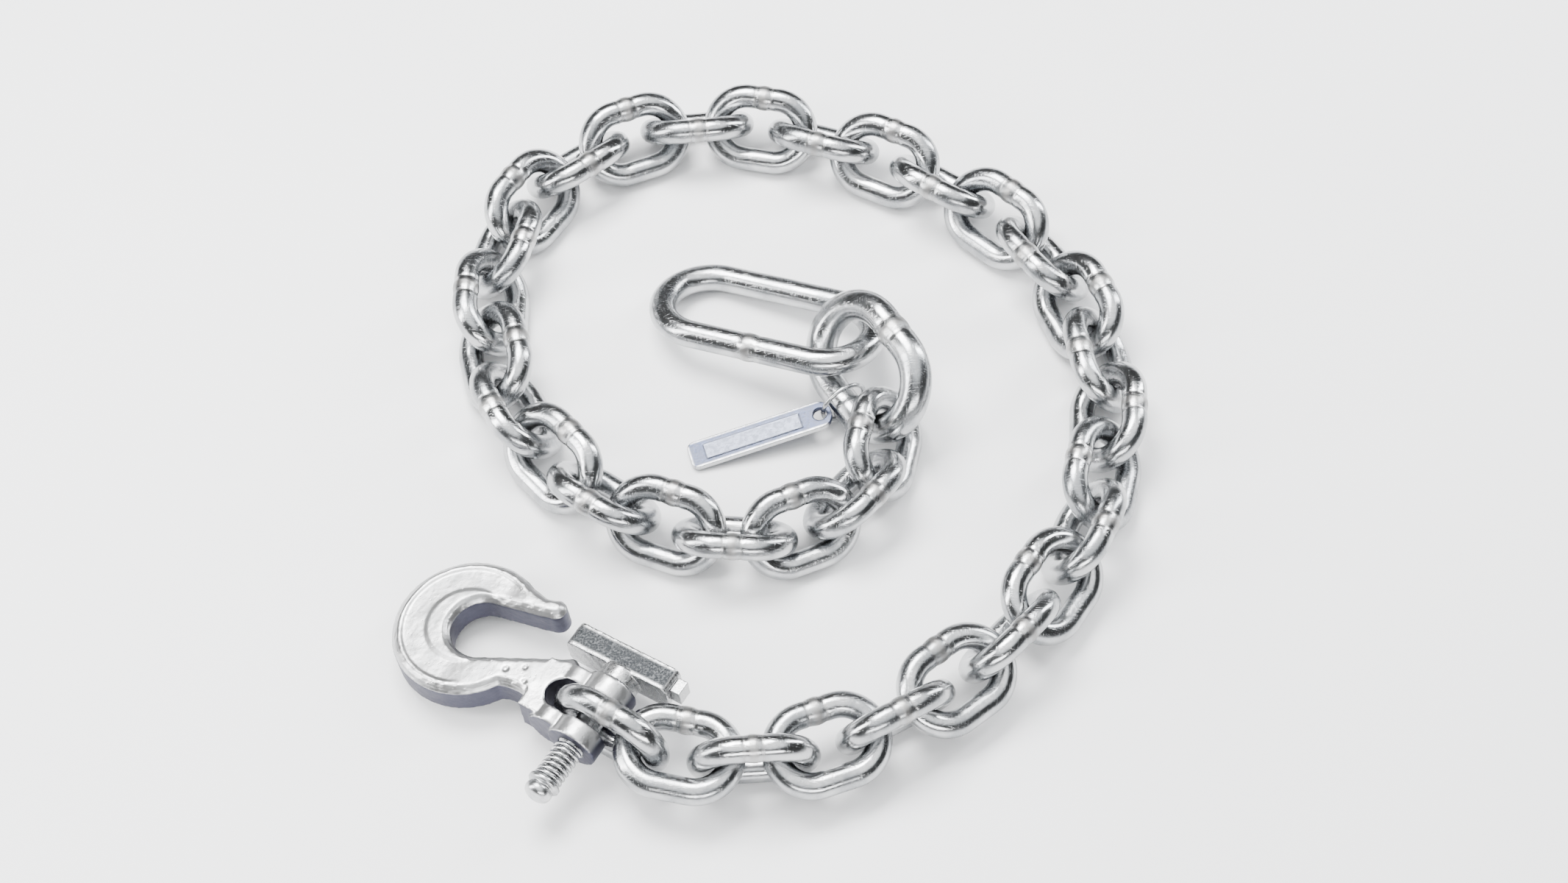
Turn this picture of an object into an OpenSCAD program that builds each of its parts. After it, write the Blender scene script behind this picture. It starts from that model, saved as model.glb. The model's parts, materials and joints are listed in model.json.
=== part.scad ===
// Chain leg with a clevis grab hook, a coupling link, an oval master link and a marking tag.
// Millimetres, +Z up. The leg lies on a floor at z = 0, wound inward as a flat coil.

/* [Chain] */
// Wire diameter of the chain links; the coupling and master links follow it
wire_d = 10; // [8:0.5:13]
// Inner length of a link, in wire diameters
link_inner_ratio = 2.8; // [2.7:0.05:3.2]
// Outer width of a link, in wire diameters
link_width_ratio = 3.6; // [3.5:0.05:4]
// Free play between two neighbouring links
link_play = 0.7; // [0.4:0.1:1.2]
// How much thicker the weld collar is than the wire
weld_swell = 0.8; // [0:0.1:1.4]
// Width of the weld collar
weld_w = 3; // [1.5:0.5:5]

/* [Lay of the coil] */
// Direction of the first link, degrees from +X
start_heading = -32; // [-40:1:0]
// Middle of the first link, X
start_x = -59.42; // [-90:0.01:-40]
// Middle of the first link, Y
start_y = -132.72; // [-170:0.01:-90]
// How far each link leans over more than the one before it, until they lie at 45 degrees
lean_step = 4.5; // [3:0.5:7]

/* [Master and coupling link] */
// Wire of the master link, in chain wire diameters
master_wire_ratio = 1.1; // [1:0.05:1.4]
// Outer length of the master link, in chain wire diameters
master_len_ratio = 9.8; // [8:0.1:13]
// Outer width of the master link, in chain wire diameters
master_width_ratio = 5; // [4.4:0.1:7]
// Wire of the coupling link, in chain wire diameters
coupling_wire_ratio = 1.25; // [1.1:0.05:1.35]
// Outer length of the coupling link, in chain wire diameters
coupling_len_ratio = 6.5; // [6:0.1:7]
// Outer width of the coupling link, in chain wire diameters
coupling_width_ratio = 5; // [4.8:0.1:5.4]
// Depth of the flat pressed into one leg of the coupling link
flat_depth = 1.2; // [0.4:0.1:2]
// Length of that flat
flat_len = 12; // [6:1:16]

/* [Tag] */
// Overall length of the tag
tag_len = 58; // [40:1:70]
// Width of the tag
tag_w = 12; // [8:0.5:18]
// Thickness of the tag
tag_t = 2.5; // [1.5:0.1:4]
// Hole in the tag
tag_hole_d = 5.5; // [4:0.5:7]
// Wire of the tag ring
ring_wire = 2; // [1.4:0.1:2.2]
// Radial room between the tag ring and the coupling link
ring_room = 2.1; // [1.9:0.1:4]

/* [Hook body] */
// Thickness of the hook body
hook_t = 15; // [12:0.5:18]
// Radius of the round back of the hook
hook_r = 28.5; // [26:0.5:32]
// Diameter of the closed end of the throat
throat_d = 23; // [20:0.5:25]
// Angle of the lower throat wall to the clevis direction
throat_rake = 27; // [20:1:32]
// Angle of the upper throat wall to the clevis direction
nose_rake = 12; // [8:1:16]
// Radius of the nose
nose_r = 4.3; // [3:0.1:5]
// How far the rounded edge is set in, plan view
edge_in = 2.4; // [1:0.1:3]

/* [Clevis and pin] */
// Diameter of the clevis pin in the ears
pin_d = 10; // [8:0.5:12]
// Radial gap between the pin and the holes it turns and slides in
pin_fit = 0.08; // [0.04:0.01:0.1]
// Side gap between the first link and each ear
slot_gap = 1; // [0.6:0.1:2]
// Thickness of each ear
ear_t = 8; // [6:0.5:10]
// Radius of the ears around the pin
ear_r = 10; // [9:0.5:13]

/* [Spring and latch] */
// Diameter of the thinner pin end inside the spring
stem_d = 7; // [5:0.5:8]
// Wire of the spring
spring_wire = 1.6; // [1:0.1:2]
// Number of turns of the spring
spring_turns = 5; // [4:0.5:6]
// Free length of the spring
spring_len = 15; // [13:0.5:20]
// Travel of the pin when its cap is pushed
push = 6; // [3:0.5:6.5]
// Length of the latch bar
bar_len = 44; // [38:1:46]
// Width of the latch bar, along the pin
bar_w = 10; // [8:0.5:12]
// Height of the latch bar
bar_h = 13; // [10:0.5:15]
// Gap between the ear and the inner face of the latch bar
bar_gap = 5; // [4:0.1:7]

/* [Hidden] */
n_links = 34;
facets = 64;
// Runs of the coil: number of joints, then the turn at each of them in degrees
lay_runs = [
    [1, 20], [2, 16], [4, 9], [3, 10], [4, 13], [4, 8],
    [3, 16], [2, 19], [6, 14], [1, 16], [3, 27]
];
turns = [for (r = lay_runs) for (k = [1:r[0]]) r[1]];

link_len = (link_inner_ratio + 2) * wire_d;
link_w = link_width_ratio * wire_d;
bow_r = (link_w - wire_d) / 2;
crown = (link_len - wire_d) / 2;

master_wire = master_wire_ratio * wire_d;
master_len = master_len_ratio * wire_d;
master_w = master_width_ratio * wire_d;
coupling_wire = coupling_wire_ratio * wire_d;
coupling_len = coupling_len_ratio * wire_d;
coupling_w = coupling_width_ratio * wire_d;
coupling_leg_y = (coupling_w - coupling_wire) / 2;
coupling_crown = (coupling_len - coupling_wire) / 2;

function dir(a) = [cos(a), sin(a), 0];
function side(a) = [-sin(a), cos(a), 0];
function sum_to(v, n) = n <= 0 ? 0 : v[n - 1] + sum_to(v, n - 1);
function heading(i) = start_heading + sum_to(turns, i);
function lean(i) = min(45, lean_step * i);
function roll(i) = i % 2 == 0 ? lean(i) - 90 : lean(i);
function height(i) = wire_d / 2 + bow_r * cos(lean(i));
// A bend uses up some of the play, so neighbours sit a little closer where the coil turns
function slack(i) = link_play + 0.16 * wire_d * pow(turns[i] / 30, 2);
function half_step(i) = (link_inner_ratio * wire_d - slack(i)) / 2;
function step_x(i) = half_step(i) * (cos(heading(i)) + cos(heading(i + 1)));
function step_y(i) = half_step(i) * (sin(heading(i)) + sin(heading(i + 1)));
xy = [for (i = 0, x = start_x, y = start_y; i < n_links;
        x = x + (i < n_links - 1 ? step_x(i) : 0),
        y = y + (i < n_links - 1 ? step_y(i) : 0), i = i + 1) [x, y]];
function centre(i) = [xy[i][0], xy[i][1], height(i)];

last_h = heading(n_links - 1);
coupling_h = last_h + 45;
coupling_roll = -53;
coupling_pos = centre(n_links - 1)
    + wire_d * (2.73 * dir(last_h) + 1.2 * side(last_h) + [0, 0, 0.95]);
master_h = coupling_h + 38;
master_pitch = 7;
master_roll = 16;
master_pos = coupling_pos
    + wire_d * (4.57 * dir(coupling_h) + 1.76 * side(coupling_h) - [0, 0, 0.97]);

pin_reach = crown - (wire_d + pin_d) / 2 - link_play;
pin_pos = centre(0) - pin_reach * dir(start_heading);

// Hook frame: origin on the pin axis, +X towards the chain, +Y along the pin to the latch bar
slot_w = wire_d + 2 * slot_gap;
ear_in = slot_w / 2;
ear_out = ear_in + ear_t;
// The first link swings on the pin, so the slot ends beyond the widest reach of its bow
slot_end = bow_r + wire_d / 2 + 0.2;
throat_r = throat_d / 2;
back_c = [-60, 7];
throat_c = back_c + [5, 1.7];
nose_c = back_c + [24.5, 22];
hook_reach = -back_c[0] + hook_r;
hook_tilt = asin((pin_pos[2] - hook_t / 2) / hook_reach);
neck_r = 20;
neck_c = [-28, -26.2];

bar_in = ear_out + bar_gap;
boss_d = pin_d + 6;
bar_bore = 6.5;
stem_start = -ear_out + 0.5;
spring_end = -ear_out - spring_len;
spring_mid_r = stem_d / 2 + 0.35 + spring_wire / 2;
cap_d = 2 * (spring_mid_r + spring_wire / 2) + 1;
collar_t = 2.2;
cap_len = 8;
stem_end = spring_end - 6;
bar_mid = -2.2;
stub_len = 4;

// The tag ring hangs round the lower leg of the coupling link, just clear of the floor under it
tag_x = -1.5;
leg_pt = coupling_pos + tag_x * dir(coupling_h)
    + coupling_leg_y * (cos(coupling_roll) * side(coupling_h) + [0, 0, sin(coupling_roll)]);
ring_r = coupling_wire / 2 + ring_room + ring_wire / 2;
ring_gap = 0.12;
ring_pos = leg_pt + 0.7 * side(coupling_h)
    + [0, 0, ring_r + ring_wire / 2 + ring_gap - leg_pt[2]];
// The ring passes through the outer part of the hole, so the tag clears the link
tag_pos = ring_pos + (ring_r + (tag_hole_d - ring_wire) / 2 - 0.4) * side(coupling_h)
    + [0, 0, -0.9];
tag_end = tag_hole_d / 2 + 1.85;
tag_h = 196;
tag_droop = asin((tag_pos[2] - tag_t / 2 - ring_gap) / (tag_len - tag_end));

function link_name(i) = str("link_", i < 10 ? "0" : "", i);

// ---------- shared shapes ----------

// Ring in the shape of a running track, lying flat, long axis on X
module oval_ring(len, width, wire) {
    mid_r = (width - wire) / 2;
    half = (len - width) / 2;
    for (e = [0, 1])
        mirror([e, 0, 0])
            translate([half, 0, 0])
                rotate([0, 0, -90])
                    rotate_extrude(angle = 180, $fn = 2 * facets)
                        translate([mid_r, 0, 0])
                            circle(d = wire, $fn = facets);
    for (s = [-1, 1])
        translate([-half, s * mid_r, 0])
            rotate([0, 90, 0])
                cylinder(h = 2 * half, d = wire, $fn = facets);
}

// Collar left by the weld on one leg of a link
module weld_collar(len, width, wire, s) {
    translate([-weld_w / 2, s * (width - wire) / 2, 0])
        rotate([0, 90, 0])
            cylinder(h = weld_w, d = wire + weld_swell, $fn = facets);
}

module chain_link(i) {
    translate(centre(i))
        rotate([roll(i), 0, heading(i)])
            union() {
                oval_ring(link_len, link_w, wire_d);
                // The weld is on the upper leg
                weld_collar(link_len, link_w, wire_d, i % 2 == 0 ? -1 : 1);
            }
}

// ---------- upper end ----------

module master_place() {
    translate(master_pos)
        rotate([master_roll, master_pitch, master_h])
            children();
}

module coupling_place() {
    translate(coupling_pos)
        rotate([coupling_roll, 0, coupling_h])
            children();
}

module master_link() {
    master_place() {
        oval_ring(master_len, master_w, master_wire);
        weld_collar(master_len, master_w, master_wire, 1);
    }
}

module coupling_link() {
    coupling_place()
        difference() {
            union() {
                oval_ring(coupling_len, coupling_w, coupling_wire);
                weld_collar(coupling_len, coupling_w, coupling_wire, -1);
            }
            // Flat pressed into the outside of the other leg
            translate([3 - flat_len / 2, coupling_w / 2 - flat_depth, -coupling_wire])
                cube([flat_len, 2 * flat_depth, 2 * coupling_wire]);
        }
}

module tag_ring() {
    translate(ring_pos)
        rotate([0, 90, coupling_h])
            rotate_extrude($fn = facets)
                translate([ring_r, 0, 0])
                    circle(d = ring_wire, $fn = 24);
}

// Hole at the origin, blade along +X
module tag() {
    near = tag_w / 2 - 0.6;
    far = tag_w / 4;
    x1 = tag_len - tag_end;
    translate(tag_pos)
        rotate([0, tag_droop, tag_h])
            translate([0, 0, -tag_t / 2])
                difference() {
                    union() {
                        translate([near - tag_end, -tag_w / 2, 0])
                            cube([tag_len - near - far, tag_w, tag_t]);
                        translate([-tag_end, near - tag_w / 2, 0])
                            cube([tag_len, tag_w - 2 * near, tag_t]);
                        translate([x1 - tag_w / 2, far - tag_w / 2, 0])
                            cube([tag_w / 2, tag_w - 2 * far, tag_t]);
                        for (s = [-1, 1]) {
                            translate([near - tag_end, s * (tag_w / 2 - near), 0])
                                cylinder(h = tag_t, r = near, $fn = facets);
                            translate([x1 - far, s * (tag_w / 2 - far), 0])
                                cylinder(h = tag_t, r = far, $fn = facets);
                        }
                    }
                    translate([0, 0, -1])
                        cylinder(h = tag_t + 2, d = tag_hole_d, $fn = facets);
                }
}

// ---------- hook ----------

module hook_place() {
    translate(pin_pos)
        rotate([0, -hook_tilt, start_heading])
            children();
}

// Plan of the hook, drawn smaller all round by d
module hook_plan(d) {
    difference() {
        union() {
            translate(back_c)
                circle(r = hook_r - d, $fn = 2 * facets);
            upper_arm(d);
            difference() {
                polygon([
                    [back_c[0], back_c[1]],
                    [back_c[0] + 13, back_c[1] - 25 + d],
                    [-14, back_c[1] - 25 + d],
                    [-14, ear_out - d],
                    [-17, 15.4 - d]
                ]);
                translate(neck_c)
                    circle(r = neck_r + d, $fn = 2 * facets);
            }
        }
        translate(throat_c)
            circle(r = throat_r + d, $fn = 2 * facets);
        throat_mouth(d);
    }
}

module upper_arm(d) {
    polygon([
        back_c + [-2, 10],
        back_c + [-2, hook_r - d],
        back_c + [5, hook_r - 0.7 - d],
        back_c + [12, hook_r - 2.6 - d],
        back_c + [19, hook_r - 4 - d],
        nose_c + [0, nose_r - d - 0.05],
        nose_c + [0, -nose_r + d + 0.05],
        back_c + [4, 12]
    ]);
    translate(nose_c)
        circle(r = nose_r - d, $fn = facets);
}

// Open part of the throat between its two straight walls
module throat_mouth(d) {
    // The walls cross the round end at a slight angle, so that no edge is a bare tangent
    wall_r = throat_r + d - 0.06;
    up = throat_c + wall_r * [-sin(nose_rake), cos(nose_rake)];
    low = throat_c + wall_r * [sin(throat_rake), -cos(throat_rake)];
    reach = 60;
    polygon([
        throat_c,
        up,
        up + reach * [cos(nose_rake), sin(nose_rake)],
        low + reach * [cos(throat_rake), sin(throat_rake)],
        low
    ]);
}

// Cross bore along the pin axis
module pin_axis_rod(y0, y1, d) {
    translate([0, y0, 0])
        rotate([-90, 0, 0])
            cylinder(h = y1 - y0, d = d, $fn = facets);
}

module hook_body() {
    hook_place()
        difference() {
            union() {
                // Edge rounded in three steps
                for (s = [[1, 1], [0.88, 0.45], [0.7, 0]])
                    translate([0, 0, -s[0] * hook_t / 2])
                        linear_extrude(height = s[0] * hook_t)
                            hook_plan(s[1] * edge_in);
                // Neck between the arm and the ears
                translate([-slot_end - 6, -ear_out + 3, -hook_t / 2])
                    cube([slot_end + 6, 2 * ear_out - 6, hook_t]);
                pin_axis_rod(-ear_out, ear_out, 2 * ear_r);
                translate([-11, 0, 0])
                    pin_axis_rod(-ear_out + 1.5, ear_out - 1.5, 2 * ear_r - 3);
            }
            // Slot for the first link
            translate([-slot_end + ear_in, -ear_in, -2 * ear_r])
                cube([slot_end + 2 * ear_r, slot_w, 4 * ear_r]);
            translate([-slot_end + ear_in, 0, -2 * ear_r])
                cylinder(h = 4 * ear_r, r = ear_in, $fn = facets);
            pin_axis_rod(-ear_out - 5, ear_out + 5, pin_d + 2 * pin_fit);
        }
}

// ---------- pin, spring and latch ----------

module clevis_pin() {
    hook_place() {
        pin_axis_rod(stem_start, bar_in + bar_bore - 0.1, pin_d);
        pin_axis_rod(stem_end + 0.1, stem_start, stem_d);
    }
}

// Coil of round wire from one end face to the other
module pin_spring() {
    segs = 20;
    sides = 10;
    steps = spring_turns * segs;
    y0 = -ear_out - 0.1 - spring_wire / 2;
    y1 = spring_end + 0.1 + spring_wire / 2;
    ring = [for (k = [0:sides - 1]) spring_wire / 2 * [cos(360 * k / sides), sin(360 * k / sides)]];
    pts = [for (j = [0:steps]) for (q = ring)
        [(spring_mid_r + q[0]) * cos(j * 360 / segs),
         y0 + (y1 - y0) * j / steps + q[1],
         (spring_mid_r + q[0]) * sin(j * 360 / segs)]];
    skin = [for (j = [0:steps - 1]) for (k = [0:sides - 1])
        [j * sides + k, j * sides + (k + 1) % sides,
         (j + 1) * sides + (k + 1) % sides, (j + 1) * sides + k]];
    ends = [[for (k = [sides - 1:-1:0]) k], [for (k = [0:sides - 1]) steps * sides + k]];
    hook_place()
        polyhedron(points = pts, faces = concat(skin, ends), convexity = 10);
}

// Collar and rounded cap that hold the spring on the pin
module pin_cap() {
    hook_place()
        difference() {
            union() {
                pin_axis_rod(spring_end - collar_t, spring_end, cap_d);
                pin_axis_rod(spring_end - cap_len + cap_d / 2 - 1, spring_end, cap_d - 2);
                intersection() {
                    translate([0, spring_end - cap_len + cap_d / 2 - 1, 0])
                        sphere(d = cap_d - 2, $fn = facets);
                    pin_axis_rod(spring_end - cap_len - 1, spring_end, cap_d);
                }
            }
            pin_axis_rod(stem_end, spring_end + 5, stem_d);
        }
}

module latch_bar() {
    x0 = bar_mid - bar_len / 2;
    round_r = 3;
    hook_place()
        difference() {
            union() {
                translate([x0 + round_r, bar_in, -bar_h / 2])
                    cube([bar_len - 2 * round_r, bar_w, bar_h]);
                translate([x0, bar_in, -bar_h / 2 + round_r])
                    cube([bar_len, bar_w, bar_h - 2 * round_r]);
                for (x = [x0 + round_r, x0 + bar_len - round_r])
                    for (z = [-1, 1])
                        translate([x, 0, z * (bar_h / 2 - round_r)])
                            pin_axis_rod(bar_in, bar_in + bar_w, 2 * round_r);
                pin_axis_rod(ear_out + 0.3, bar_in + 1, boss_d);
            }
            pin_axis_rod(ear_out, bar_in + bar_bore, pin_d + 2 * pin_fit);
        }
}

module latch_stub() {
    hook_place()
        translate([bar_mid + bar_len / 2, bar_in + 2.5, -bar_h / 2 + 3])
            cube([stub_len, bar_w - 4, bar_h - 6]);
}

// ---------- one line per piece ----------

steel = [0.78, 0.79, 0.80];
dark = [0.45, 0.46, 0.49];

color(steel) master_link();
color(steel) coupling_link();
color(steel) tag_ring();
color(dark) tag();
for (i = [0:n_links - 1])
    color(steel) chain_link(i);
color(steel) hook_body();
color(steel) clevis_pin();
color(steel) pin_spring();
color(steel) pin_cap();
color(dark) latch_bar();
color(steel) latch_stub();
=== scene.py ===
"""Steel chain leg: oval master link, coupling link, 34 short links, clevis grab hook and marking tag."""

import json
import math

import bmesh
import bpy
import numpy as np
from mathutils import Matrix, Vector, noise


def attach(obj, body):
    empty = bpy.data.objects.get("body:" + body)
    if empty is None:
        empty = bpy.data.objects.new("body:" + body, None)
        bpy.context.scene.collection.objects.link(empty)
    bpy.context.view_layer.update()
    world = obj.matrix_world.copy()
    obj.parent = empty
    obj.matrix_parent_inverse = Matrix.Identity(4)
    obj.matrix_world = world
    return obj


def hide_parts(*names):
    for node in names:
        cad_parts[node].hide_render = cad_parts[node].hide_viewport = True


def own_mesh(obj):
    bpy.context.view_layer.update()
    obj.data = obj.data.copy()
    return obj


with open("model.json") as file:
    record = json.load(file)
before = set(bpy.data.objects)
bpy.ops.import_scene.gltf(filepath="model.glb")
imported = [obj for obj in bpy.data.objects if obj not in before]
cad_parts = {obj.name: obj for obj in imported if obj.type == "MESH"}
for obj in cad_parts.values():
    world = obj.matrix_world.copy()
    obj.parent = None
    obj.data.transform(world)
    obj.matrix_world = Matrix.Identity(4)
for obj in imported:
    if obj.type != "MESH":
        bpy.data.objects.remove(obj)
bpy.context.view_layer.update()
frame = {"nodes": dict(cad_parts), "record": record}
MM = 0.001
LINK_COUNT = 34

# Sizes that the looks add to the frame, in millimetres
WELD_WIDTH = 1.9
WELD_SWELL = 0.36
HOOK_BACK = (-60.0, 7.0)
HOOK_BACK_RADIUS = 28.5
RIM_WIDTH = 3.6
PANEL_DEPTH = 0.6
PUNCH_MARKS = ((-36, -1.5, 1.5), (-30, 2.5, 1.2), (-27, -2.5, 1.2))
PUNCH_DEPTH = 0.5
FLAT_DEPTH = 1.2
FLAT_MIDDLE = -3
FLAT_HALF_LENGTH = 6
BLOCK_WIDTH = 10
SPRING_WIRE = 1.6
SPRING_COILS = 6.5
CAP_RADIUS = 6.2
DOME_LENGTH = 3.2
FIELD_DEPTH = 0.22


# ---------- camera, floor and light ----------

def add_camera():
    """Looks down at the coil from the hook side."""
    target = Vector((2.1, 0.3, 0)) * MM
    elevation = math.radians(57.5)
    distance = 976 * MM
    data = bpy.data.cameras.new("camera")
    data.sensor_width = 36
    data.lens = 57.24
    data.clip_start = 0.01
    camera = bpy.data.objects.new("camera", data)
    bpy.context.collection.objects.link(camera)
    camera.location = target + distance * Vector((0, -math.cos(elevation), math.sin(elevation)))
    camera.rotation_euler = (math.pi / 2 - elevation, 0, 0)
    bpy.context.scene.camera = camera


def add_softbox(name, place, size, power, tint=(1, 1, 1)):
    """A rectangular light that faces the middle of the coil."""
    data = bpy.data.lights.new(name, "AREA")
    data.shape = "RECTANGLE"
    data.size, data.size_y = size
    data.energy = power
    data.color = tint
    light = bpy.data.objects.new(name, data)
    bpy.context.collection.objects.link(light)
    light.location = place
    light.rotation_euler = (-Vector(place)).to_track_quat("-Z", "Y").to_euler()


def add_sky():
    """Bright overhead, darker towards the sides, so that round wire shows light and dark bands."""
    world = bpy.data.worlds.new("studio")
    bpy.context.scene.world = world
    world.use_nodes = True
    tree = world.node_tree
    coords = tree.nodes.new("ShaderNodeTexCoord")
    split = tree.nodes.new("ShaderNodeSeparateXYZ")
    ramp = tree.nodes.new("ShaderNodeValToRGB")
    stops = ramp.color_ramp.elements
    stops[0].position, stops[0].color = 0.0, (1.2, 1.2, 1.24, 1)
    stops[1].position, stops[1].color = 1.0, (3.0, 3.0, 3.0, 1)
    for place, level in ((0.08, 0.6), (0.2, 0.06), (0.74, 0.06), (0.86, 2.8)):
        stop = stops.new(place)
        stop.color = (level * 0.95, level * 0.98, level, 1)
    tree.links.new(coords.outputs["Generated"], split.inputs[0])
    tree.links.new(split.outputs["Z"], ramp.inputs[0])
    tree.links.new(ramp.outputs["Color"], tree.nodes["Background"].inputs["Color"])
    tree.nodes["Background"].inputs["Strength"].default_value = 1.0


# ---------- shader maths ----------

class Value:
    """One shader value; the usual operators add Math nodes."""

    def __init__(self, finish, socket):
        self.finish = finish
        self.socket = socket

    def _math(self, operation, first, second):
        made = self.finish.node("ShaderNodeMath", {"operation": operation}, {0: first, 1: second})
        return Value(self.finish, made.outputs[0])

    def __add__(self, other):
        return self._math("ADD", self, other)

    __radd__ = __add__

    def __mul__(self, other):
        return self._math("MULTIPLY", self, other)

    __rmul__ = __mul__

    def __sub__(self, other):
        return self._math("SUBTRACT", self, other)

    def __rsub__(self, other):
        return self._math("SUBTRACT", other, self)

    def over(self, low, high):
        """0 below low, 1 above high, smooth between them."""
        settings = {"interpolation_type": "SMOOTHSTEP"}
        made = self.finish.node("ShaderNodeMapRange", settings, {0: self, 1: low, 2: high, 3: 0.0, 4: 1.0})
        return Value(self.finish, made.outputs[0])


class Finish:
    """A material under construction, on a metal shader."""

    def __init__(self, name):
        self.material = bpy.data.materials.new(name)
        self.material.use_nodes = True
        self.tree = self.material.node_tree
        self.shader = self.tree.nodes["Principled BSDF"]
        coords = self.tree.nodes.new("ShaderNodeTexCoord")
        self.coords = coords.outputs["Object"]

    def node(self, kind, settings, inputs):
        made = self.tree.nodes.new(kind)
        for name, setting in settings.items():
            setattr(made, name, setting)
        for key, value in inputs.items():
            self.feed(made.inputs[key], value)
        return made

    def feed(self, socket, value):
        if isinstance(value, Value):
            value = value.socket
        if isinstance(value, bpy.types.NodeSocket):
            self.tree.links.new(value, socket)
        else:
            socket.default_value = value

    def noise(self, scale, detail=3.0, stretch=(1, 1, 1)):
        """Noise on Object coordinates; scale is in cycles per metre."""
        place = self.node("ShaderNodeMapping", {}, {"Vector": self.coords, "Scale": stretch})
        made = self.node("ShaderNodeTexNoise", {}, {
            "Vector": place.outputs[0], "Scale": scale, "Detail": detail, "Roughness": 0.6,
        })
        return Value(self, made.outputs[0])

    def cells(self, scale):
        """Distance to the nearest of many scattered points."""
        made = self.node("ShaderNodeTexVoronoi", {}, {"Vector": self.coords, "Scale": scale})
        return Value(self, made.outputs["Distance"])

    def mark(self, name):
        """A value stored on the mesh."""
        made = self.node("ShaderNodeAttribute", {"attribute_name": name}, {})
        return Value(self, made.outputs["Fac"])

    def mix(self, amount, first, second):
        """Colour between first and second."""
        made = self.node("ShaderNodeMix", {"data_type": "RGBA"}, {0: amount, 6: first, 7: second})
        return made.outputs[2]

    def surface(self, colour, rough, height, depth, metallic=1.0):
        """Feeds the shader; height is a value and depth its size in millimetres."""
        bump = self.node("ShaderNodeBump", {}, {"Strength": 1.0, "Distance": depth * MM, "Height": height})
        self.feed(self.shader.inputs["Base Color"], colour)
        self.feed(self.shader.inputs["Roughness"], rough)
        self.feed(self.shader.inputs["Metallic"], metallic)
        self.feed(self.shader.inputs["Normal"], bump.outputs[0])
        return self.material


def grey(level, blue=0.0):
    return (level * (1 - blue), level * (1 - blue / 2), level, 1)


# ---------- finishes ----------

def tumbled_steel(name, light, dark, rough):
    """Drawn wire, tumbled bright: soft clouds, small knocks, fine scratches and a burnt tone at the weld."""
    finish = Finish(name)
    clouds = finish.noise(70, 4).over(0.36, 0.68)
    grain = finish.noise(900, 3)
    knocks = finish.cells(330).over(0.05, 0.22)
    scratches = finish.noise(260, 2, (1, 9, 1)).over(0.58, 0.66)
    scratches += finish.noise(300, 2, (8, 1, 1)).over(0.6, 0.68)
    weld = finish.mark("weld")
    colour = finish.mix(clouds, grey(light, 0.02), grey(dark, 0.07))
    colour = finish.mix(weld * 0.45, colour, (0.24, 0.22, 0.2, 1))
    roughness = rough + 0.1 * clouds + 0.05 * grain + 0.04 * scratches + 0.16 * weld
    height = 0.3 * grain + 0.5 * finish.noise(210, 3) + 0.45 * knocks - 0.25 * scratches
    return finish.surface(colour, roughness, height, 0.045)


def forged_steel(name):
    """Drop-forged hook: skin with fine orange peel, brighter where it is rubbed, and painted shade on its
    flanks: side walls are coloured near-black blue to stand in for dark reflections.
    """
    finish = Finish(name)
    clouds = finish.noise(55, 5).over(0.35, 0.7)
    peel = finish.noise(620, 4)
    pits = finish.cells(520).over(0.04, 0.2)
    rubbed = finish.mark("rubbed")
    painted_flank_shade = finish.mark("painted_flank_shade")
    colour = finish.mix(clouds, grey(0.5, 0.0), grey(0.33, 0.03))
    colour = finish.mix(rubbed * 0.7, colour, grey(0.62))
    # painted shade: faces turned sideways are coloured near-black blue to stand in for the dark reflections
    # on the hook's side walls
    colour = finish.mix(painted_flank_shade, colour, (0.06, 0.06, 0.085, 1))
    roughness = 0.28 + 0.12 * clouds + 0.1 * peel - 0.08 * rubbed + 0.12 * painted_flank_shade
    height = 0.6 * peel + 0.4 * pits + 0.5 * finish.noise(180, 3)
    return finish.surface(colour, roughness, height, 0.09)


def speckled_block(name):
    """Latch block: dark speckled rolled faces, bright along its rounded edges."""
    finish = Finish(name)
    face = finish.mark("face")
    speckle = finish.noise(1300, 3).over(0.42, 0.6)
    flecks = finish.noise(420, 4).over(0.45, 0.62)
    dark = finish.mix(speckle, grey(0.03, 0.14), grey(0.13, 0.08))
    dark = finish.mix(flecks * 0.5, dark, grey(0.06, 0.1))
    colour = finish.mix(face, grey(0.45, 0.01), dark)
    roughness = 0.26 + 0.24 * face + 0.1 * speckle
    height = speckle * (0.3 + face) + 0.3 * finish.noise(240, 3)
    return finish.surface(colour, roughness, height, 0.06)


def turned_steel(name):
    """Pin, cap and spring: fine turning marks on bright steel."""
    finish = Finish(name)
    clouds = finish.noise(120, 3).over(0.35, 0.7)
    grain = finish.noise(1400, 2)
    colour = finish.mix(clouds, grey(0.6, 0.01), grey(0.38, 0.04))
    roughness = 0.18 + 0.1 * clouds + 0.08 * grain
    return finish.surface(colour, roughness, grain + 0.4 * finish.noise(300, 2), 0.03)


def tag_metal(name):
    """Tag: blue-grey plate with a paler blank field and a bright worn edge."""
    finish = Finish(name)
    field = finish.mark("field")
    edge = finish.mark("edge")
    brushed = finish.noise(240, 3, (1, 14, 1))
    mottle = finish.noise(500, 4).over(0.4, 0.62)
    base = finish.mix(mottle, (0.06, 0.07, 0.11, 1), (0.1, 0.11, 0.15, 1))
    colour = finish.mix(field * (0.5 + 0.35 * brushed), base, (0.2, 0.215, 0.26, 1))
    colour = finish.mix(edge * 0.85, colour, grey(0.6, 0.01))
    roughness = 0.3 + 0.14 * mottle + 0.08 * brushed
    return finish.surface(colour, roughness, 0.5 * brushed + 0.5 * mottle, 0.04)


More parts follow.
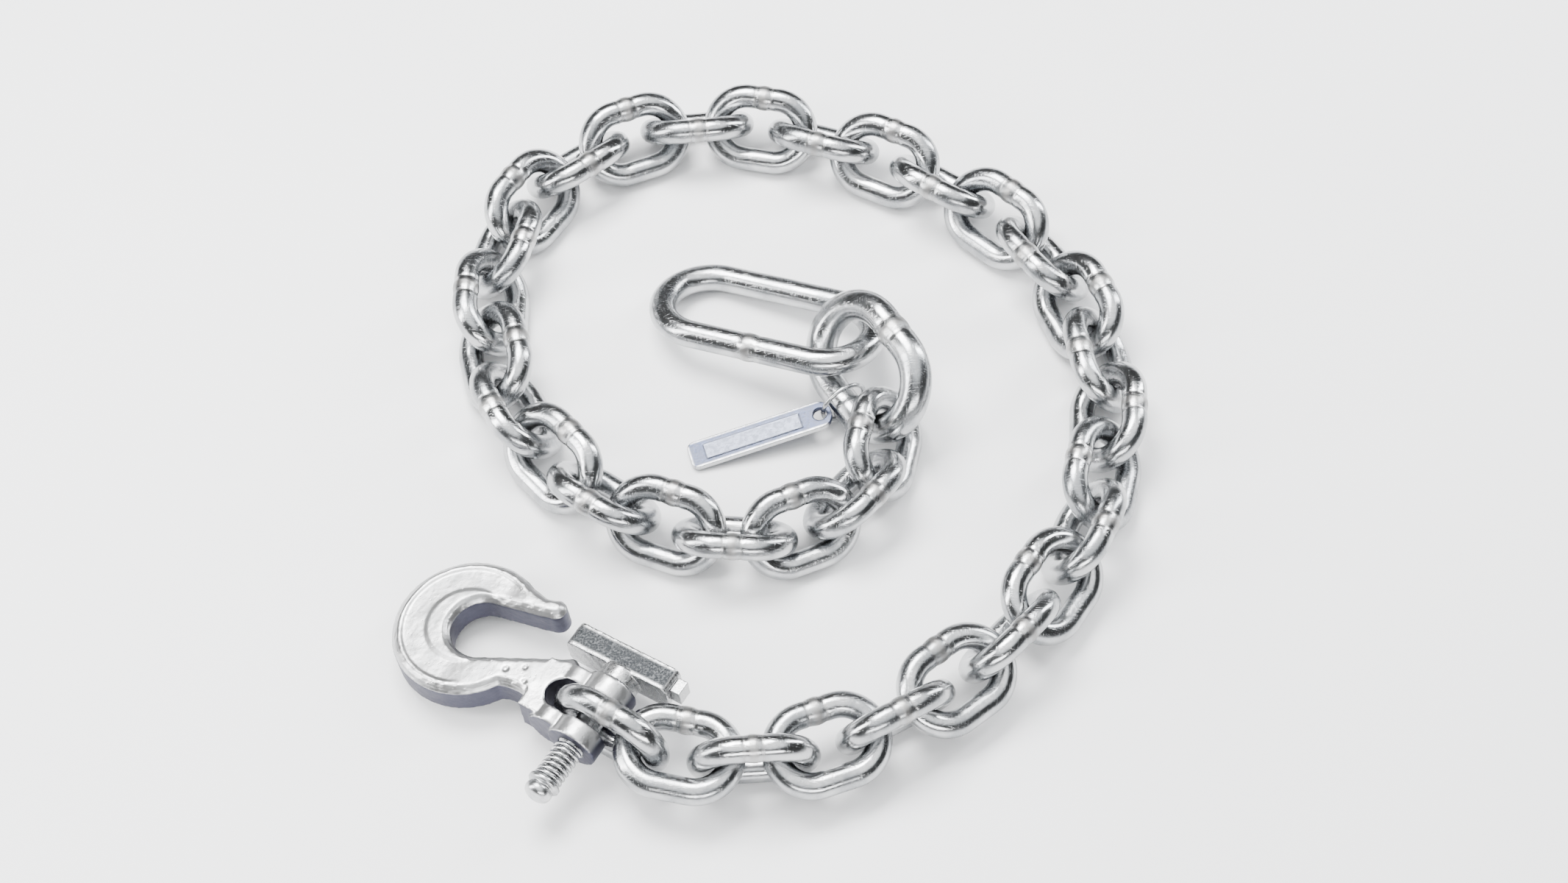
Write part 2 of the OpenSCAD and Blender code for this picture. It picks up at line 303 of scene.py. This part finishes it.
def floor_finish():
    finish = Finish("pale_floor")
    clouds = finish.noise(6, 3)
    colour = finish.mix(clouds, (0.86, 0.86, 0.87, 1), (0.9, 0.9, 0.9, 1))
    return finish.surface(colour, 0.8 + 0.1 * clouds, finish.noise(60, 2), 0.02, metallic=0.0)


# ---------- places, read from the frame ----------

def node_points(node):
    data = frame["nodes"][node].data
    flat = np.empty(3 * len(data.vertices))
    data.vertices.foreach_get("co", flat)
    return flat.reshape(-1, 3)


def joint(name):
    return next(j for j in frame["record"]["behaviour"]["joints"] if j["name"] == name)


def flat_axes(points):
    """Long, middle and thin direction of a piece that mirrors in its flat plane; the last is upwards."""
    axes = np.linalg.eigh(np.cov(points.T))[1].T[::-1]
    return axes * [[1], [1], [1 if axes[2, 2] > 0 else -1]]


def ring_place(node, across=None):
    """Place, length and width of a ring-shaped node: X along it, Y across it towards its weld, Z up."""
    points = node_points(node)
    long_way, middle_way, z = flat_axes(points)
    y = middle_way if across is None else np.array(across)
    turn = np.array([np.cross(y, z), y, z])
    local = points @ turn.T
    low, high = local.min(0), local.max(0)
    middle = (low + high) / 2
    crown = np.abs(local[:, 0] - middle[0]) > 0.8 * (high[0] - middle[0])
    middle[1] = (local[crown, 1].min() + local[crown, 1].max()) / 2
    above, below = high[1] - middle[1], middle[1] - low[1]
    if above < below:
        turn[:2] *= -1
        middle[:2] *= -1
    place = Matrix(turn.T.tolist()).to_4x4()
    place.translation = Vector(turn.T @ middle)
    return place, high[0] - low[0], 2 * min(above, below)


def hook_frame():
    """Origin on the pin, +X towards the chain, +Y along the pin to the latch, +Z up."""
    y = Vector(joint("pin_push")["axis"]).normalized()
    z = Vector(flat_axes(node_points("hook_body"))[2])
    z = (z - z.dot(y) * y).normalized()
    x = y.cross(z)
    place = Matrix((x, y, z)).transposed().to_4x4()
    place.translation = Vector(joint("latch_turn")["pos_m"])
    return place


# ---------- mesh helpers ----------

def add_piece(name, mesh, body, material, replaced):
    """Links a finished mesh, whose place is in its points, and ties it to its body."""
    piece = bpy.data.objects.new(name, mesh)
    bpy.context.collection.objects.link(piece)
    mesh.name = name
    mesh.materials.clear()
    mesh.materials.append(material)
    mesh.shade_smooth()
    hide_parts(*replaced)
    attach(piece, body)
    return piece


def evaluated_mesh(obj):
    """Plain mesh of obj with its modifiers, after which obj is removed."""
    graph = bpy.context.evaluated_depsgraph_get()
    graph.update()
    mesh = bpy.data.meshes.new_from_object(obj.evaluated_get(graph))
    bpy.data.objects.remove(obj)
    return mesh


def copy_from_cad(node, voxel, rounds):
    """Even, softly rounded skin over a CAD node's shape."""
    mesh = frame["nodes"][node].data.copy()
    work = bmesh.new()
    work.from_mesh(mesh)
    bmesh.ops.remove_doubles(work, verts=work.verts, dist=1e-6)
    work.to_mesh(mesh)
    work.free()
    obj = bpy.data.objects.new("work", mesh)
    bpy.context.collection.objects.link(obj)
    skin = obj.modifiers.new("skin", "REMESH")
    skin.mode = "VOXEL"
    skin.voxel_size = voxel * MM
    smooth = obj.modifiers.new("smooth", "SMOOTH")
    smooth.factor = 0.5
    smooth.iterations = rounds
    return evaluated_mesh(obj)


def local_points(mesh, place):
    back = place.inverted()
    return [back @ v.co for v in mesh.vertices]


def store_mark(mesh, name, values):
    mark = mesh.attributes.new(name, "FLOAT", "POINT")
    mark.data.foreach_set("value", values)


def ease(low, high, value):
    """0 below low, 1 above high, smooth between them."""
    t = min(max((value - low) / (high - low), 0.0), 1.0)
    return t * t * (3 - 2 * t)


# ---------- node trees ----------

class Tree:
    """A Geometry Nodes tree under construction."""

    def __init__(self, name, sizes):
        self.group = bpy.data.node_groups.new(name, "GeometryNodeTree")
        face = self.group.interface
        face.new_socket("Geometry", in_out="INPUT", socket_type="NodeSocketGeometry")
        for title, value in sizes.items():
            face.new_socket(title, in_out="INPUT", socket_type="NodeSocketFloat").default_value = value
        face.new_socket("Finish", in_out="INPUT", socket_type="NodeSocketMaterial")
        face.new_socket("Geometry", in_out="OUTPUT", socket_type="NodeSocketGeometry")
        self.inputs = self.group.nodes.new("NodeGroupInput")
        self.output = self.group.nodes.new("NodeGroupOutput")

    def size(self, title):
        return self.inputs.outputs[title]

    def node(self, kind, settings, inputs):
        made = self.group.nodes.new(kind)
        for name, setting in settings.items():
            setattr(made, name, setting)
        for key, value in inputs.items():
            if isinstance(value, bpy.types.NodeSocket):
                self.group.links.new(value, made.inputs[key])
            else:
                made.inputs[key].default_value = value
        return made

    def math(self, operation, *values):
        return self.node("ShaderNodeMath", {"operation": operation}, dict(enumerate(values))).outputs[0]

    def finish(self, geometry):
        """Closes the tree with Realize Instances and Set Material."""
        real = self.node("GeometryNodeRealizeInstances", {}, {"Geometry": geometry})
        made = self.node("GeometryNodeSetMaterial", {}, {
            "Geometry": real.outputs[0], "Material": self.size("Finish"),
        })
        self.group.links.new(made.outputs[0], self.output.inputs[0])
        return self.group


def welded_ring_tree():
    """Ring of round wire bent to a running-track shape, with a rough weld in the middle of its +Y leg."""
    tree = Tree("welded_ring", {
        "Length": 48 * MM, "Width": 36 * MM, "Wire": 10 * MM,
        "Weld Width": WELD_WIDTH * MM, "Weld Swell": WELD_SWELL * MM, "Seed": 0.0,
    })
    bend = tree.math("MULTIPLY", tree.math("SUBTRACT", tree.size("Width"), tree.size("Wire")), 0.5)
    stretch = tree.math("MULTIPLY", tree.math("SUBTRACT", tree.size("Length"), tree.size("Width")), 0.5)
    loop = tree.node("GeometryNodeCurvePrimitiveCircle", {}, {"Resolution": 128, "Radius": bend})
    spot = tree.node("GeometryNodeInputPosition", {}, {})
    split = tree.node("ShaderNodeSeparateXYZ", {}, {0: spot.outputs[0]})
    shift = tree.math("MULTIPLY", tree.math("SIGN", split.outputs["X"]), stretch)
    move = tree.node("ShaderNodeCombineXYZ", {}, {"X": shift})
    track = tree.node("GeometryNodeSetPosition", {}, {"Geometry": loop.outputs[0], "Offset": move.outputs[0]})
    even = tree.node("GeometryNodeResampleCurve", {}, {"Curve": track.outputs[0], "Count": 216})
    round_wire = tree.node("GeometryNodeCurvePrimitiveCircle", {}, {
        "Resolution": 26, "Radius": tree.math("MULTIPLY", tree.size("Wire"), 0.5),
    })
    tube = tree.node("GeometryNodeCurveToMesh", {}, {
        "Curve": even.outputs[0], "Profile Curve": round_wire.outputs[0],
    })

    along = tree.math("DIVIDE", split.outputs["X"], tree.size("Weld Width"))
    on_leg = tree.math("GREATER_THAN", split.outputs["Y"], 0.0)
    cube = tree.math("POWER", tree.math("ABSOLUTE", along), 3.0)
    bead = tree.math("EXPONENT", tree.math("MULTIPLY", cube, -1.0))
    bead = tree.math("MULTIPLY", bead, on_leg)
    neck = tree.math("SUBTRACT", tree.math("ABSOLUTE", along), 1.75)
    neck = tree.math("EXPONENT", tree.math("MULTIPLY", tree.math("MULTIPLY", neck, neck), -9.0))
    neck = tree.math("MULTIPLY", neck, on_leg)
    lumps = tree.node("ShaderNodeTexNoise", {"noise_dimensions": "4D"}, {
        "Vector": spot.outputs[0], "W": tree.size("Seed"), "Scale": 620.0, "Detail": 3.0,
    })
    ripple = tree.node("ShaderNodeTexNoise", {"noise_dimensions": "4D"}, {
        "Vector": spot.outputs[0], "W": tree.size("Seed"), "Scale": 95.0, "Detail": 2.0,
    })
    rise = tree.math("MULTIPLY", tree.math("ADD", tree.math("MULTIPLY", lumps.outputs[0], 1.3), 0.1), bead)
    rise = tree.math("MULTIPLY", rise, tree.size("Weld Swell"))
    fall = tree.math("MULTIPLY", neck, tree.math("MULTIPLY", tree.size("Weld Swell"), -0.45))
    worn = tree.math("MULTIPLY", tree.math("SUBTRACT", ripple.outputs[0], 1.0), 0.16 * MM)
    total = tree.math("ADD", tree.math("ADD", rise, fall), worn)
    outwards = tree.node("GeometryNodeInputNormal", {}, {})
    push = tree.node("ShaderNodeVectorMath", {"operation": "SCALE"}, {0: outwards.outputs[0], "Scale": total})
    burnt = tree.math("MINIMUM", tree.math("ADD", bead, tree.math("MULTIPLY", neck, 0.6)), 1.0)
    marked = tree.node("GeometryNodeStoreNamedAttribute", {"data_type": "FLOAT", "domain": "POINT"}, {
        "Geometry": tube.outputs[0], "Name": "weld", "Value": burnt,
    })
    shaped = tree.node("GeometryNodeSetPosition", {}, {
        "Geometry": marked.outputs[0], "Offset": push.outputs[0],
    })
    return tree.finish(shaped.outputs[0])


def wire_sweep_tree():
    """Round wire along the curve that it is put on, closed at both ends."""
    tree = Tree("wire_sweep", {"Wire": SPRING_WIRE * MM})
    round_wire = tree.node("GeometryNodeCurvePrimitiveCircle", {}, {
        "Resolution": 16, "Radius": tree.math("MULTIPLY", tree.size("Wire"), 0.5),
    })
    tube = tree.node("GeometryNodeCurveToMesh", {}, {
        "Curve": tree.size("Geometry"), "Profile Curve": round_wire.outputs[0], "Fill Caps": True,
    })
    return tree.finish(tube.outputs[0])


def grown(name, data, group, sizes, material):
    """Mesh that a tree makes with the sizes given by name."""
    obj = bpy.data.objects.new(name, data)
    bpy.context.collection.objects.link(obj)
    maker = obj.modifiers.new("maker", "NODES")
    maker.node_group = group
    for socket in group.interface.items_tree:
        if socket.in_out == "INPUT" and socket.name in sizes:
            maker[socket.identifier] = sizes[socket.name]
        if socket.in_out == "INPUT" and socket.name == "Finish":
            maker[socket.identifier] = material
    return evaluated_mesh(obj)


# ---------- pieces ----------

def make_ring(name, node, body, wire, seed, material, tree, across=None, weld=1.0):
    """Welded ring in the place and size of its node."""
    place, length, width = ring_place(node, across)
    mesh = grown(name, bpy.data.meshes.new("seed"), tree, {
        "Length": length, "Width": width, "Wire": wire * MM,
        "Weld Width": WELD_WIDTH * MM * weld, "Weld Swell": WELD_SWELL * MM * weld, "Seed": seed,
    }, material)
    if name == "coupling_ring":
        press_flat(mesh, width)
    mesh.transform(place)
    return add_piece(name, mesh, body, material, [node])


def press_flat(mesh, width):
    """Flat with squared ends, pressed into the outside of the plain leg."""
    flat_y = -(width / 2 - FLAT_DEPTH * MM)
    for v in mesh.vertices:
        if abs(v.co.x - FLAT_MIDDLE * MM) < FLAT_HALF_LENGTH * MM and v.co.y < flat_y:
            v.co.y = flat_y


def make_hook(place, material):
    """Forged hook: raised rim round its back, sunk panel inside it, small punch marks at the neck."""
    mesh = copy_from_cad("hook_body", 0.55, 7)
    points = local_points(mesh, place)
    rubbed, painted_flank_shade = [], []
    turn = place.to_3x3()
    back = turn.inverted()
    normals = [v.normal.copy() for v in mesh.vertices]
    for v, p, normal in zip(mesh.vertices, points, normals):
        spot = p / MM
        x, y, z = spot
        from_back = math.hypot(x - HOOK_BACK[0], y - HOOK_BACK[1])
        inside = HOOK_BACK_RADIUS - from_back
        broad = ease(5.2, 6.4, abs(z))
        on_face = broad * ease(-24, -34, x)
        panel = ease(RIM_WIDTH, RIM_WIDTH + 1.4, inside) * ease(14.2, 16.2, from_back)
        panel *= ease(-46, -56, x)
        sink = PANEL_DEPTH * panel
        for mark_x, mark_y, radius in PUNCH_MARKS:
            sink += PUNCH_DEPTH * ease(radius, radius * 0.4, math.hypot(x - mark_x, y - mark_y)) * (z > 0)
        skin = 0.12 * noise.noise(spot * 0.16) + 0.04 * noise.noise(spot * 0.7) - 0.1
        step = Vector((0, 0, -math.copysign(sink * max(on_face, broad * (x < -20)), z)))
        v.co += (turn @ step + normal * skin) * MM
        # painted shade mask: 1 where the normal lies near horizontal, marking the side walls that are painted
        # dark
        painted_flank_shade.append(ease(0.6, 0.25, abs((back @ normal).z)))
        rim = ease(2.4, 0.6, abs(inside - RIM_WIDTH)) * on_face
        rubbed.append(ease(0.2, 0.9, 1 - on_face) * 0.5 + 0.5 * rim)
    store_mark(mesh, "rubbed", rubbed)
    store_mark(mesh, "painted_flank_shade", painted_flank_shade)
    return add_piece("hook_forging", mesh, "hook", material, ["hook_body"])


def make_block(place, material):
    """Latch block with rounded edges; its broad faces keep the dark rolled skin."""
    mesh = copy_from_cad("latch_bar", 0.36, 9)
    points = local_points(mesh, place)
    low = [min(p[k] for p in points) for k in range(3)]
    high = [max(p[k] for p in points) for k in range(3)]
    core_y = high[1] - BLOCK_WIDTH * MM
    face = []
    for p in points:
        inner = min(p.x - low[0], high[0] - p.x, p.y - core_y, high[1] - p.y) / MM
        face.append(ease(0.9, 1.9, inner) * ease(4.6, 5.6, abs(p.z) / MM))
    normals = [v.normal.copy() for v in mesh.vertices]
    for v, p, normal in zip(mesh.vertices, points, normals):
        v.co += normal * MM * (0.12 * noise.noise(p / MM * 0.35) - 0.06)
    store_mark(mesh, "face", face)
    return add_piece("latch_block", mesh, "latch", material, ["latch_bar"])


def make_tail(place, material):
    """Short tail at the end of the latch block."""
    mesh = copy_from_cad("latch_stub", 0.22, 5)
    store_mark(mesh, "face", [0.0] * len(mesh.vertices))
    return add_piece("latch_tail", mesh, "latch", material, ["latch_stub"])


def turned_mesh(name, profile, place, steps=64):
    """Solid of revolution about the pin axis, from a closed profile of (along, radius) in millimetres."""
    work = bmesh.new()
    rings = []
    for along, radius in profile:
        if radius == 0:
            rings.append([work.verts.new((0, along * MM, 0))])
            continue
        angles = [2 * math.pi * k / steps for k in range(steps)]
        rings.append([
            work.verts.new((radius * MM * math.cos(a), along * MM, radius * MM * math.sin(a))) for a in angles
        ])
    for first, second in zip(rings, rings[1:]):
        for k in range(steps):
            near = [first[k % len(first)], first[(k + 1) % len(first)]]
            far = [second[(k + 1) % len(second)], second[k % len(second)]]
            corners = list(dict.fromkeys(near + far))
            if len(corners) > 2:
                work.faces.new(corners)
    bmesh.ops.recalc_face_normals(work, faces=work.faces)
    mesh = bpy.data.meshes.new(name)
    work.to_mesh(mesh)
    work.free()
    mesh.transform(place)
    return mesh


def make_cap(place, material):
    """Collar that holds the spring, a groove and a domed push end with a small centre dimple."""
    far, near = cap_reach(place)
    collar = near - 2.2
    profile = [(near, 0), (near, CAP_RADIUS - 0.5), (near - 0.5, CAP_RADIUS)]
    profile += [(collar + 0.5, CAP_RADIUS), (collar, CAP_RADIUS - 0.5)]
    profile += [(collar - 0.05, 4.5), (collar - 0.7, 4.3), (collar - 1.1, 4.9), (collar - 1.4, 5.15)]
    dome = far + DOME_LENGTH
    for k in range(9):
        turn = math.pi / 2 * k / 9
        profile.append((dome - DOME_LENGTH * math.sin(turn), 0.6 + 4.6 * math.cos(turn)))
    profile += [(far + 0.05, 1.3), (far + 0.45, 0.7), (far + 0.6, 0)]
    mesh = turned_mesh("pin_end_cap", profile, place)
    return add_piece("pin_end_cap", mesh, "pin", material, ["pin_cap"])


def cap_reach(place):
    """Outer and inner end of the cap along the pin, in millimetres."""
    back = np.array(place.inverted())
    along = node_points("pin_cap") @ back[1, :3] + back[1, 3]
    return along.min() / MM, along.max() / MM


def make_spring(place, material, tree):
    """Coil spring with closed ends."""
    back = np.array(place.inverted())
    points = node_points("pin_spring")
    local = points @ back[:3, :3].T + back[:3, 3]
    start, end = local[:, 1].max() / MM, local[:, 1].min() / MM
    radius = np.hypot(local[:, 0], local[:, 2]).max() / MM - SPRING_WIRE / 2
    span = start - end - SPRING_WIRE
    dead = 0.85  # closed turns at each end
    closed_pitch = SPRING_WIRE * 0.98
    path = bpy.data.curves.new("spring_path", "CURVE")
    path.dimensions = "3D"
    line = path.splines.new("POLY")
    count = int(SPRING_COILS * 30) + 1
    line.points.add(count - 1)
    for k in range(count):
        turn = SPRING_COILS * k / (count - 1)
        live = min(max(turn - dead, 0.0), SPRING_COILS - 2 * dead) / (SPRING_COILS - 2 * dead)
        closed = min(turn, dead) + max(turn - SPRING_COILS + dead, 0.0)
        depth = closed * closed_pitch + live * (span - 2 * dead * closed_pitch)
        angle = 2 * math.pi * turn
        along = start - SPRING_WIRE / 2 - depth
        line.points[k].co = (radius * MM * math.cos(angle), along * MM, radius * MM * math.sin(angle), 1)
    mesh = grown("pin_coil_spring", path, tree, {"Wire": SPRING_WIRE * MM}, material)
    mesh.transform(place)
    spring = add_piece("pin_coil_spring", mesh, "hook", material, ["pin_spring"])
    anchor = place @ Vector((0, start * MM, 0))
    travel = joint("pin_push")["range_m"][1] / MM
    1 - travel / (start - end)
    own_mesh(spring)
    return spring


def make_tag(material):
    """Marking tag: blank sunk field, bright rounded edge."""
    mesh = copy_from_cad("tag", 0.26, 4)
    points = np.empty(3 * len(mesh.vertices))
    mesh.vertices.foreach_get("co", points)
    points = points.reshape(-1, 3)
    source = node_points("tag")
    axes = flat_axes(source)
    along, across, up = axes
    hole = np.array(joint("tag_swing")["pos_m"])
    if np.dot(source.mean(0) - hole, along) < 0:
        along = -along
    middle = source.mean(0)
    middle += up * ((source @ up).min() + (source @ up).max() - 2 * middle @ up) / 2
    middle += across * ((source @ across).min() + (source @ across).max() - 2 * middle @ across) / 2
    edge, field = [], []
    half_width = ((source @ across).max() - (source @ across).min()) / 2 / MM
    end = (source @ along).max() / MM
    for v, p in zip(mesh.vertices, points):
        from_end = end - np.dot(p, along) / MM
        from_side = half_width - abs(np.dot(p - middle, across)) / MM
        height = np.dot(p - middle, up) / MM
        on_top = ease(0.5, 0.9, height)
        blank = ease(6.0, 6.8, from_end) * ease(46.0, 45.0, from_end) * ease(2.2, 2.9, from_side) * on_top
        v.co -= Vector(up) * FIELD_DEPTH * MM * blank
        field.append(blank)
        edge.append(1 - ease(0.5, 1.2, min(from_side, from_end)))
    store_mark(mesh, "edge", edge)
    store_mark(mesh, "field", field)
    return add_piece("marking_tag", mesh, "tag", material, ["tag"])


def add_floor():
    work = bmesh.new()
    bmesh.ops.create_grid(work, x_segments=8, y_segments=8, size=6)
    mesh = bpy.data.meshes.new("floor")
    work.to_mesh(mesh)
    work.free()
    mesh.materials.append(floor_finish())
    floor = bpy.data.objects.new("floor", mesh)
    floor.location.z = -0.0002
    bpy.context.collection.objects.link(floor)


# ---------- the scene ----------

add_camera()
add_sky()
add_floor()
add_softbox("overhead", (-0.25, 0.35, 1.1), (0.7, 0.5), 34)
add_softbox("left_strip", (-0.9, -0.2, 0.55), (0.25, 0.9), 15)
add_softbox("right_strip", (0.85, 0.5, 0.6), (0.2, 0.8), 13, (0.96, 0.98, 1))
add_softbox("front_low", (0.1, -1.1, 0.5), (0.9, 0.2), 10)

chain_steel = tumbled_steel("tumbled_chain_steel", 0.5, 0.3, 0.14)
master_steel = tumbled_steel("tumbled_master_steel", 0.52, 0.33, 0.14)
ring_steel = tumbled_steel("tag_ring_steel", 0.48, 0.32, 0.17)
bright_turned = turned_steel("bright_turned_steel")

ring_tree = welded_ring_tree()
hook_place = hook_frame()
for number in range(1, LINK_COUNT + 1):
    make_ring(f"chain_link_{number:02d}", f"link_{number:02d}", f"link_{number:02d}",
              10, number * 3.7, chain_steel, ring_tree)
make_ring("master_oval", "master_link", "master_link",
          11, 1.3, master_steel, ring_tree, weld=1.1)
make_ring("coupling_ring", "coupling_link", "coupling_link", 12.5, 2.1, master_steel, ring_tree,
          joint("link_34_swing")["axis"], weld=1.1)
make_ring("tag_wire_ring", "tag_ring", "tag_ring", 2, 5.2, ring_steel, ring_tree, weld=0.3)

make_hook(hook_place, forged_steel("forged_hook_steel"))
block_steel = speckled_block("speckled_latch_steel")
make_block(hook_place, block_steel)
make_tail(hook_place, block_steel)
make_cap(hook_place, bright_turned)
make_spring(hook_place, bright_turned, wire_sweep_tree())
make_tag(tag_metal("blue_grey_tag"))
for pin_slot in frame["nodes"]["clevis_pin"].material_slots:
    pin_slot.material = bright_turned
